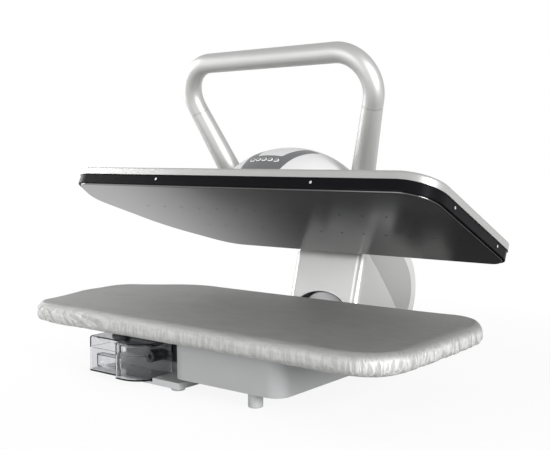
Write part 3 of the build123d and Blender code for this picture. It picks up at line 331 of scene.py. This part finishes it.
class PRESS_OT_padded_cover(Operator):
    """Make the cloth cover, taut over its pad and gathered along the sides and the hem"""
    bl_idname = "press.padded_cover"
    bl_label = "Padded Cover"

    # Corners of the board from its middle: x, y and radius
    CORNERS = ((0.336, -0.153, 0.057), (0.336, 0.153, 0.066), (-0.222, 0.153, 0.150),
               (-0.337, 0.069, 0.070), (-0.337, -0.018, 0.110), (-0.297, -0.153, 0.045))
    # The cloth settles at ten times its size
    SCALE = 10.0
    # Gathers grow towards the nose along x, and on the blunt end where the side faces +x
    LOOSE_REACH = 0.02
    LEAST_LOOSE = 0.30
    NOSE_FROM, NOSE_RUN = -0.10, 0.14
    END_FROM = 0.80
    SLANT_FROM, SLANT_RUN = -0.16, 0.08
    RIDGE = 2.4
    # Rows of the section, and rings from the rim to a line along the board's middle
    HEM_STEPS, SIDE_STEPS, EDGE_STEPS = 8, 4, 10
    MIDDLE_HALF = 0.16
    TOP_SHARES = (0.04, 0.12, 0.24, 0.38, 0.54, 0.70, 0.85, 0.96)
    UNEVEN = 0.0002
    # Ribs in a metre along the side and up it, and where along x they are strongest
    RIBS, RIB_RISE = 130.0, 20.0
    RIB_NOSE = (-0.22, -0.10)
    RIB_END = (0.27, 0.32)
    RIB_WIDTH = 0.008
    # Depth below the top between which the side's creases and its painted light fade
    SIDE_FADE = (0.014, 0.002)

    def execute(self, context):
        cloth = context.scene.press_cloth
        points, normals = rounded_outline(self.CORNERS, cloth.step)
        count = len(points)
        loose = [self.looseness(point, normal) for point, normal in zip(points, normals)]
        loose = smoothed(loose, round(self.LOOSE_REACH / cloth.step))
        mesh = bmesh.new()
        rings = [[mesh.verts.new(self.drawn(cloth, points[i], normals[i], i * cloth.step, loose[i], row))
                  for i in range(count)] for row in self.profile(cloth)]
        for lower, upper in zip(rings, rings[1:]):
            for i in range(count):
                mesh.faces.new((lower[i], lower[(i + 1) % count], upper[(i + 1) % count], upper[i]))
        data = bpy.data.meshes.new("padded_cover")
        mesh.to_mesh(data)
        mesh.free()
        cover = bpy.data.objects.new("padded_cover", data)
        context.scene.collection.objects.link(cover)
        last = count * len(rings)
        self.settle(context, cover, [*range(count), *range(last - 2 * count, last)])
        self.close(data, count)
        data.materials.append(self.finish(cloth))
        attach(cover, "base")
        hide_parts("board_cover", "board_foam")
        return {"FINISHED"}

    def looseness(self, point, normal):
        """Share of the gathers: full at the nose and the blunt end, little along the straight sides."""
        nose = min(1.0, max(0.0, (self.NOSE_FROM - point.x) / self.NOSE_RUN))
        end = min(1.0, max(0.0, (normal.x - self.END_FROM) / (1.0 - self.END_FROM)))
        return self.LEAST_LOOSE + (1.0 - self.LEAST_LOOSE) * max(nose, end)

    def profile(self, cloth):
        """Rows of the section: distance in from the rim, height, and share of the gathers."""
        low, high, edge, hem = cover_low.z, cover_high.z, cloth.edge_radius, cloth.hem_radius
        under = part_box("board_pan")[0].z + 0.0007
        rows = [(cloth.hem_width, under, 0.0), (cloth.hem_width - 0.0002, low + 0.0004, 0.6)]
        rows += [(hem + (cloth.hem_width - hem) * share, low, 0.8) for share in (0.75, 0.45, 0.15)]
        for step in range(self.HEM_STEPS):
            angle = math.pi / 2 * step / self.HEM_STEPS
            rows.append((hem * (1 - math.sin(angle)), low + hem * (1 - math.cos(angle)), 1.0))
        side_low, side_top = low + hem, high - edge
        for step in range(self.SIDE_STEPS + 1):
            share = step / self.SIDE_STEPS
            rows.append((0.0, side_low + (side_top - side_low) * share, 1.0 - 0.25 * share))
        for step in range(1, self.EDGE_STEPS + 1):
            angle = math.pi / 2 * step / self.EDGE_STEPS
            rows.append((edge * (1 - math.cos(angle)), side_top + edge * math.sin(angle),
                         0.75 * (1 - step / self.EDGE_STEPS) ** 1.6))
        return rows

    def drawn(self, cloth, point, normal, run, loose, row):
        """One point of the cover, pulled in between the gathers."""
        inset, height, share = row
        climb = height - cover_low.z
        lean = 0.9 * noise.noise((run * 6.0, 3.1, cloth.fold_seed))
        slant = 0.8 * min(1.0, max(0.0, (self.SLANT_FROM - point.x) / self.SLANT_RUN))
        along = (run - climb * (lean + slant)) / cloth.fold_pitch
        fold = noise.noise((along, climb * 16.0, cloth.fold_seed + 0.5))
        fine = noise.noise((along * 2.6, climb * 30.0, cloth.fold_seed + 9.5))
        ridge = max(0.0, 1.0 - self.RIDGE * abs(fold)) + 0.35 * max(0.0, 1.0 - self.RIDGE * abs(fine))
        pull = cloth.fold_depth * loose * share * (1.0 - min(1.0, ridge))
        flat = point - normal * (inset + pull)
        return Vector((board_middle.x + flat.x, board_middle.y + flat.y, height))

    def settle(self, context, cover, held):
        """Let the gathered sides settle as cloth under a light pressure from the foam."""
        cloth = context.scene.press_cloth
        home = [vertex.co.copy() for vertex in cover.data.vertices]
        for vertex in cover.data.vertices:
            vertex.co *= self.SCALE
        cover.vertex_groups.new(name="held").add(held, 1.0, "REPLACE")
        modifier = cover.modifiers.new("settle", "CLOTH")
        settings = modifier.settings
        settings.quality = 5
        settings.mass = 0.1
        settings.tension_stiffness = 20.0
        settings.compression_stiffness = 8.0
        settings.shear_stiffness = 5.0
        settings.bending_stiffness = 0.05
        settings.vertex_group_mass = "held"
        settings.use_pressure = True
        settings.uniform_pressure_force = 4.0
        settings.effector_weights.gravity = 0.0
        modifier.collision_settings.use_collision = False
        for number in range(1, cloth.settle_frames + 1):
            context.scene.frame_set(number)
        settled = cover.evaluated_get(context.evaluated_depsgraph_get()).data
        spots = [vertex.co / self.SCALE for vertex in settled.vertices]
        cover.modifiers.remove(modifier)
        cover.vertex_groups.clear()
        for vertex, spot, start in zip(cover.data.vertices, spots, home):
            move = spot - start
            vertex.co = start + move * min(1.0, cloth.settle_cap / max(move.length, 1e-9))
        context.scene.frame_set(1)

    def close(self, data, count):
        """Close the settled band with the top and the underside, and smooth it."""
        mesh = bmesh.new()
        mesh.from_mesh(data)
        mesh.verts.ensure_lookup_table()
        hem, rim = mesh.verts[:count], mesh.verts[-count:]
        mesh.faces.new(reversed(hem))
        self.close_top(mesh, rim)
        for face in mesh.faces:
            face.smooth = True
        mesh.to_mesh(data)
        mesh.free()

    def close_top(self, mesh, rim):
        """Carry the top from its rim to a line along the middle, with a faint unevenness."""
        start = Vector((board_middle.x - self.MIDDLE_HALF, board_middle.y))
        end = Vector((board_middle.x + self.MIDDLE_HALF, board_middle.y))
        count = len(rim)
        previous = rim
        for share in self.TOP_SHARES:
            ring = []
            for vertex in rim:
                flat = Vector((vertex.co.x, vertex.co.y))
                part = min(1.0, max(0.0, (flat.x - start.x) / (end.x - start.x)))
                goal = start.lerp(end, part)
                spot = flat.lerp(goal, share)
                wave = noise.noise((spot.x * 14.0, spot.y * 20.0, 2.0)) + 1.0
                ring.append(mesh.verts.new((spot.x, spot.y, cover_high.z - self.UNEVEN * wave)))
            for i in range(count):
                mesh.faces.new((previous[i], previous[(i + 1) % count], ring[(i + 1) % count], ring[i]))
            previous = ring
        mesh.faces.new(previous)

    def finish(self, cloth):
        """Coated cloth: fine weave and streaks along the board, with painted sheen lightening the gathered
        sides and their creases.
        """
        fabric = Finish("coated_cloth", metallic=0.35, specular_ior_level=0.2)
        streaks = fabric.noise(150.0, 5.0, 0.65, (0.22, 2.0, 1.0))
        patches = fabric.noise(16.0, 3.0)
        warp = fabric.node("ShaderNodeTexWave", {"bands_direction": "X"},
                           {"Vector": fabric.place(), "Scale": 420.0, "Distortion": 1.2, "Detail": 1.0})
        weft = fabric.node("ShaderNodeTexWave", {"bands_direction": "Y"},
                           {"Vector": fabric.place(), "Scale": 420.0, "Distortion": 1.2, "Detail": 1.0})
        weave = 0.5 * warp + 0.5 * weft
        fade_low, fade_high = (cover_high.z - depth for depth in self.SIDE_FADE)
        side = 1.0 - fabric.band(fabric.along("Z"), fade_low, fade_high)
        crinkle = fabric.noise(1.0, 4.0, 0.6, (190.0, 190.0, 38.0))
        ribs = self.ribs(fabric)
        top = 0.40 * streaks + 0.10 * patches + 0.10 * weave - 0.08
        # Painted light: the sides are lighter, most on their crinkles and ribs, as a painted sheen
        share = top + side * (0.20 + 0.25 * crinkle + 0.35 * ribs)
        fabric.feed("Base Color", fabric.mixed(share, shade(cloth.colour, 0.90), cloth.rubbed_and_lit))
        fabric.feed("Roughness", 0.42 + 0.16 * streaks)
        pucker = fabric.noise(230.0, 5.0, 0.65)
        folds = side * (0.30 * crinkle + 0.40 * ribs)
        fabric.emboss(folds + 0.12 * pucker + 0.10 * weave + 0.08 * streaks, 0.0022, 0.75)
        return fabric.material

    def ribs(self, fabric):
        """Narrow upright ribs of drawn cloth, which lean at the nose."""
        x, y, z = (fabric.along(axis) for axis in "XYZ")
        nose = 1.0 - fabric.band(x, *self.RIB_NOSE)
        spot = fabric.node("ShaderNodeCombineXYZ", None,
                           {0: (x + 0.8 * nose * z) * self.RIBS, 1: y * self.RIBS, 2: z * self.RIB_RISE})
        field = fabric.node("ShaderNodeTexNoise", None,
                            {"Vector": spot, "Scale": 1.0, "Detail": 3.0, "Roughness": 0.5}) - 0.5
        drawn = 0.45 + 0.55 * (nose + fabric.band(x, *self.RIB_END))
        return drawn * (1.0 - fabric.band(field * field, 0.0, self.RIB_WIDTH))


class PRESS_OT_plate(Operator):
    """Finish the pressing plate: silver cover, black rim, coated sole and bright screws"""
    bl_idname = "press.plate"
    bl_label = "Pressing Plate"

    SCREW = (0.75, 0.75, 0.74)
    DUST = (0.05, 0.05, 0.05)
    # Painted shade darkens the sole along x between these
    SOLE_SHADE_RUN = (-0.26, 0.10)

    def execute(self, context):
        paint = context.scene.press_paint
        dressed(satin_paint("plate_silver", shade(paint.silver, 0.92), 0.7, 0.36), "plate_cover")
        dressed(self.black_rim(paint.black), "plate_frame")
        dressed(self.coated_sole(paint.sole), "soleplate")
        dressed(plated_steel("bright_screw", self.SCREW, 0.22), "frame_screws")
        dressed(plated_steel("element_steel", shade(paint.steel, 0.8), 0.4), "heating_element", "thermostat")
        return {"FINISHED"}

    def black_rim(self, colour):
        """Glossy black plastic with faint wiping marks."""
        rim = Finish("black_rim", specular_ior_level=0.03)
        marks = rim.noise(40.0, 4.0, 0.6, (1.0, 1.0, 6.0))
        dust = rim.band(rim.noise(700.0, 2.0), 0.62, 0.74)
        rim.feed("Base Color", rim.mixed(0.25 * dust, colour, self.DUST))
        rim.feed("Roughness", 0.24 + 0.12 * marks)
        rim.emboss(marks, 0.00003, 0.1)
        return rim.material

    def coated_sole(self, colour):
        """Ground aluminium under a thin grey coat, with polishing lines and painted shade that darkens it
        towards +x.
        """
        sole = Finish("coated_sole", metallic=1.0)
        lines = sole.noise(90.0, 6.0, 0.7, (0.25, 9.0, 9.0))
        clouds = sole.noise(7.0, 3.0)
        share = 0.5 * lines + 0.5 * clouds
        # Painted shade: the coat turns darker towards +x
        sole_painted_shade = sole.band(sole.along("X"), *self.SOLE_SHADE_RUN)
        tone = sole.mixed(share, shade(colour, 0.92), shade(colour, 1.08))
        sole.feed("Base Color", sole.mixed(sole_painted_shade, tone, shade(colour, 0.45)))
        sole.feed("Roughness", 0.15 + 0.06 * lines)
        sole.emboss(lines, 0.00003, 0.15)
        return sole.material


class PRESS_OT_handle(Operator):
    """Finish the bow handle in satin silver paint"""
    bl_idname = "press.handle"
    bl_label = "Handle"

    def execute(self, context):
        colour = context.scene.press_paint.silver
        dressed(satin_paint("handle_silver", shade(colour, 1.08), 0.8, 0.46),
                "handle_bow", "handle_leg_left", "handle_leg_right")
        return {"FINISHED"}


class PRESS_OT_head(Operator):
    """Finish the head: pale shell, dark control panel and plain round buttons"""
    bl_idname = "press.head"
    bl_label = "Head and Controls"

    CIRCUIT = (0.03, 0.16, 0.07)
    CAP = (0.16, 0.165, 0.17)
    RING = (0.88, 0.88, 0.88)
    # Radii between which the ring starts and ends
    RING_IN = (0.0027, 0.0030)
    RING_OUT = (0.0041, 0.0044)
    # Lean of the buttons' plane in the closed press, in degrees
    TILT = 33.5

    def execute(self, context):
        paint = context.scene.press_paint
        dressed(moulded_plastic("head_shell_plastic", paint.shell, 0.24, 900.0, 0.00004), "head_shell")
        dressed(moulded_plastic("panel_plastic", shade(paint.dark, 1.9), 0.36), "control_panel")
        dressed(self.button_caps(), *(f"button_{number}" for number in range(1, 6)))
        dressed(moulded_plastic("circuit_green", self.CIRCUIT, 0.4), "control_board", "power_board")
        dressed(plated_steel("frame_steel", shade(paint.steel, 0.7), 0.45), "head_frame")
        return {"FINISHED"}

    def button_caps(self):
        """Grey caps, each with a pale ring; all stand in one row along x."""
        low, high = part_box("button_3")
        middle = (low + high) / 2
        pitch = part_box("button_2")[0].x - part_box("button_1")[0].x
        cap = Finish("button_cap", specular_ior_level=0.4)
        across = cap.node("ShaderNodeMath", {"operation": "PINGPONG"},
                          {0: cap.along("X") - middle.x, 1: pitch / 2})
        lean = math.radians(90 - self.TILT) - open_angle
        depth = (cap.along("Y") - middle.y) * math.cos(lean) + (cap.along("Z") - middle.z) * math.sin(lean)
        far = (across * across + depth * depth) ** 0.5
        ring = cap.band(far, *self.RING_IN) - cap.band(far, *self.RING_OUT)
        cap.feed("Base Color", cap.mixed(ring, self.CAP, self.RING))
        cap.feed("Roughness", 0.32 + 0.1 * cap.noise(1800.0))
        cap.emboss(ring, 0.0001, 0.4)
        return cap.material


class PRESS_OT_arm(Operator):
    """Finish the arm's covers and the steel inside it"""
    bl_idname = "press.arm"
    bl_label = "Arm"

    def execute(self, context):
        paint = context.scene.press_paint
        # Lit and shaded copies of one silver paint: painted light on the front cover, painted shade on the
        # side cover
        dressed(satin_paint("arm_front_painted_lit", shade(paint.silver, 1.3), 0.6, 0.34), "arm_front_cover")
        dressed(satin_paint("arm_side_painted_shade", shade(paint.silver, 0.9), 0.6, 0.34), "arm_body_cover")
        dressed(satin_paint("arm_back_silver", paint.back, 0.25, 0.30), "arm_back_cover")
        dressed(plated_steel("lever_steel", shade(paint.steel, 0.8), 0.42),
                "lever_left", "lever_right", "lever_tie", "hinge_bracket", "lift_spring")
        dressed(plated_steel("shaft_steel", paint.steel, 0.25), "hinge_shaft", "shaft_rings")
        return {"FINISHED"}


class PRESS_OT_base(Operator):
    """Finish the base box, its steel foot, the pan and the feet"""
    bl_idname = "press.base"
    bl_label = "Base"

    SILICONE = (0.62, 0.62, 0.60)

    def execute(self, context):
        paint = context.scene.press_paint
        dressed(moulded_plastic("base_grey", paint.grey, 0.46), "base_housing", "base_bottom")
        dressed(moulded_plastic("tray_grey", shade(paint.grey, 1.5), 0.40), "tank_tray")
        # Painted light: the tower's grey is lightened against the shade inside the arm's arch
        dressed(moulded_plastic("tower_grey_painted_light", shade(paint.grey, 1.9), 0.42), "hinge_tower")
        dressed(moulded_plastic("foot_rubber", shade(paint.grey, 1.2), 0.62, 500.0, 0.0002),
                "front_feet", "rear_feet")
        dressed(plated_steel("chassis_steel", shade(paint.steel, 0.75), 0.45), "chassis", "board_pan")
        dressed(plated_steel("base_screw_steel", paint.steel, 0.3), "base_screws", "pan_screws")
        dressed(moulded_plastic("inlet_black", shade(paint.dark, 0.6), 0.5), "cord_inlet", "water_pump")
        dressed(moulded_plastic("hose_silicone", self.SILICONE, 0.4), "pump_hose")
        return {"FINISHED"}


class PRESS_OT_tank(Operator):
    """Finish the smoky clear water tank, its dark cap and valve and the dock behind it"""
    bl_idname = "press.tank"
    bl_label = "Water Tank"

    def execute(self, context):
        paint = context.scene.press_paint
        dressed(self.clear_plastic(paint.tank), "tank_body", "tank_lid")
        dressed(moulded_plastic("cap_dark", shade(paint.dark, 0.8), 0.38), "tank_cap", "tank_valve")
        # Painted shade: the dock is darker than the dark plastic, standing in for the shade in the tank's
        # bay
        dressed(moulded_plastic("dock_painted_shade", shade(paint.dark, 0.45), 0.42), "tank_dock")
        return {"FINISHED"}

    def clear_plastic(self, colour):
        """Clear plastic with faint flow lines from the mould."""
        clear = Finish("tank_clear", transmission_weight=1.0, ior=1.46)
        flow = clear.noise(35.0, 4.0, 0.6, (1.0, 1.0, 3.0))
        clear.feed("Base Color", clear.mixed(flow, shade(colour, 0.96), shade(colour, 1.04)))
        clear.feed("Roughness", 0.02 + 0.05 * flow)
        clear.emboss(flow, 0.0002, 0.15)
        return clear.material


class PRESS_OT_studio(Operator):
    """Set the pale floor, the soft lamps, the white surroundings and the camera"""
    bl_idname = "press.studio"
    bl_label = "Studio"

    FRONT_AT = (-0.4, -2.3, 0.6)
    LEFT_AT = (-1.15, -0.25, 0.60)
    SIDE_AT = (2.1, -0.7, 0.7)
    LAMP_AIM = (0.0, 0.0, 0.2)
    PAPER = ((0.93, 0.93, 0.93), (0.9, 0.9, 0.9))
    WHITE = (1.0, 1.0, 1.0)
    # Distance from the press at which the floor turns white
    WHITE_FROM = (0.35, 0.80)
    # Middle and fading of the painted shadow on the floor behind the press, which only reflections such as
    # the sole's show
    DIM_X, DIM_Y = 0.12, 0.10
    MIRRORED_SHADOW_FADE = (0.20, 0.85)

    def execute(self, context):
        studio = context.scene.press_studio
        self.floor(context, studio)
        self.surroundings(context, studio)
        self.lamp(context, "front_lamp", self.FRONT_AT, 1.5, studio.front_power)
        self.lamp(context, "left_lamp", self.LEFT_AT, 0.7, studio.left_power)
        self.lamp(context, "side_lamp", self.SIDE_AT, 0.8, studio.side_power)
        self.camera(context, studio)
        context.scene.view_settings.view_transform = "Standard"
        return {"FINISHED"}

    def floor(self, context, studio):
        """Pale sheet with a soft shadow, plain white away from the press, and a painted shadow behind the
        press that only reflections show.
        """
        mesh = bmesh.new()
        bmesh.ops.create_grid(mesh, x_segments=1, y_segments=1, size=studio.floor_size / 2)
        data = bpy.data.meshes.new("studio_floor")
        mesh.to_mesh(data)
        mesh.free()
        sheet = bpy.data.objects.new("studio_floor", data)
        context.scene.collection.objects.link(sheet)
        paper = Finish("studio_paper", roughness=0.9, specular_ior_level=0.1)
        paper.feed("Base Color", paper.mixed(0.04 * paper.noise(3.0), *self.PAPER))
        x, y = paper.along("X"), paper.along("Y")
        far = paper.band((x * x + y * y) ** 0.5, *self.WHITE_FROM)
        glow = studio.floor_glow + (1.0 - studio.floor_glow) * far
        # Painted shadow: around this spot the floor is dim in reflections only
        x, y = x - self.DIM_X, y - self.DIM_Y
        away = paper.band((x * x + y * y) ** 0.5, *self.MIRRORED_SHADOW_FADE)
        shine = studio.mirrored_floor_shadow + (1.0 - studio.mirrored_floor_shadow) * away
        straight, indirect = self.seen(paper)
        white = paper.node("ShaderNodeEmission", None,
                           {"Color": self.WHITE, "Strength": straight + shine * indirect})
        mix = paper.node("ShaderNodeMixShader", None,
                         {0: glow * straight + indirect, 1: Link(paper, paper.shader.outputs[0]), 2: white})
        output = next(n for n in paper.tree.nodes if n.type == "OUTPUT_MATERIAL")
        paper.tree.links.new(mix.socket, output.inputs["Surface"])
        data.materials.append(paper.material)

    def seen(self, finish):
        """Whether a ray is seen straight or through clear plastic, and whether it is mirrored."""
        camera = finish.node("ShaderNodeLightPath", output="Is Camera Ray")
        through = finish.node("ShaderNodeLightPath", output="Is Transmission Ray")
        mirrored = finish.node("ShaderNodeLightPath", output="Is Glossy Ray")
        straight = finish.node("ShaderNodeMath", {"operation": "MAXIMUM"}, {0: camera, 1: through})
        return straight, mirrored * (1.0 - straight)

    def surroundings(self, context, studio):
        """White all round where it is seen, and an even light of its own."""
        world = bpy.data.worlds.new("studio_white")
        world.use_nodes = True
        context.scene.world = world
        air = Finish.__new__(Finish)
        air.tree = world.node_tree
        back = next(n for n in air.tree.nodes if n.type == "BACKGROUND")
        back.inputs["Color"].default_value = (*self.WHITE, 1.0)
        straight, mirrored = self.seen(air)
        other = 1.0 - straight - mirrored
        air.fill(back.inputs["Strength"], straight + studio.mirrored * mirrored + studio.ambient * other)

    def lamp(self, context, name, spot, size, power):
        """Square soft lamp aimed at the press."""
        light = bpy.data.lights.new(name, "AREA")
        light.size = size
        light.energy = power
        lamp = bpy.data.objects.new(name, light)
        lamp.location = spot
        lamp.rotation_euler = (Vector(self.LAMP_AIM) - Vector(spot)).to_track_quat("-Z", "Y").to_euler()
        context.scene.collection.objects.link(lamp)

    def camera(self, context, studio):
        """Camera of the picture, without shift or blur."""
        lens = bpy.data.cameras.new("picture_camera")
        lens.sensor_fit = "HORIZONTAL"
        lens.sensor_width = 36.0
        lens.lens = studio.lens
        lens.clip_end = 50.0
        camera = bpy.data.objects.new("picture_camera", lens)
        camera.location = studio.camera_at
        aim = Vector(studio.camera_aim) - Vector(studio.camera_at)
        camera.rotation_euler = aim.to_track_quat("-Z", "Y").to_euler()
        context.scene.collection.objects.link(camera)
        context.scene.camera = camera


STEPS = (PRESS_OT_padded_cover, PRESS_OT_plate, PRESS_OT_handle, PRESS_OT_head, PRESS_OT_arm,
         PRESS_OT_base, PRESS_OT_tank, PRESS_OT_studio)


class PRESS_PT_sidebar(Panel):
    """Lists the press's sizes, colours and building steps"""
    bl_idname = "PRESS_PT_sidebar"
    bl_label = "Steam Ironing Press"
    bl_space_type = "VIEW_3D"
    bl_region_type = "UI"
    bl_category = "Press"

    def draw(self, context):
        for group in ("press_cloth", "press_paint", "press_studio"):
            box = self.layout.box()
            settings = getattr(context.scene, group)
            for key in settings.bl_rna.properties.keys():
                if key not in ("rna_type", "name"):
                    box.prop(settings, key)
        for step in STEPS:
            self.layout.operator(step.bl_idname)


GROUPS = (("press_cloth", PressCloth), ("press_paint", PressPaint), ("press_studio", PressStudio))
CLASSES = (*(group for name, group in GROUPS), *STEPS, PRESS_PT_sidebar)


def register():
    for cls in CLASSES:
        bpy.utils.register_class(cls)
    for name, group in GROUPS:
        setattr(bpy.types.Scene, name, PointerProperty(type=group))


def unregister():
    for name, group in GROUPS:
        delattr(bpy.types.Scene, name)
    for cls in reversed(CLASSES):
        bpy.utils.unregister_class(cls)


def main():
    register()
    bpy.ops.press.padded_cover()
    bpy.ops.press.plate()
    bpy.ops.press.handle()
    bpy.ops.press.head()
    bpy.ops.press.arm()
    bpy.ops.press.base()
    bpy.ops.press.tank()
    bpy.ops.press.studio()


if __name__ == "__main__":
    main()
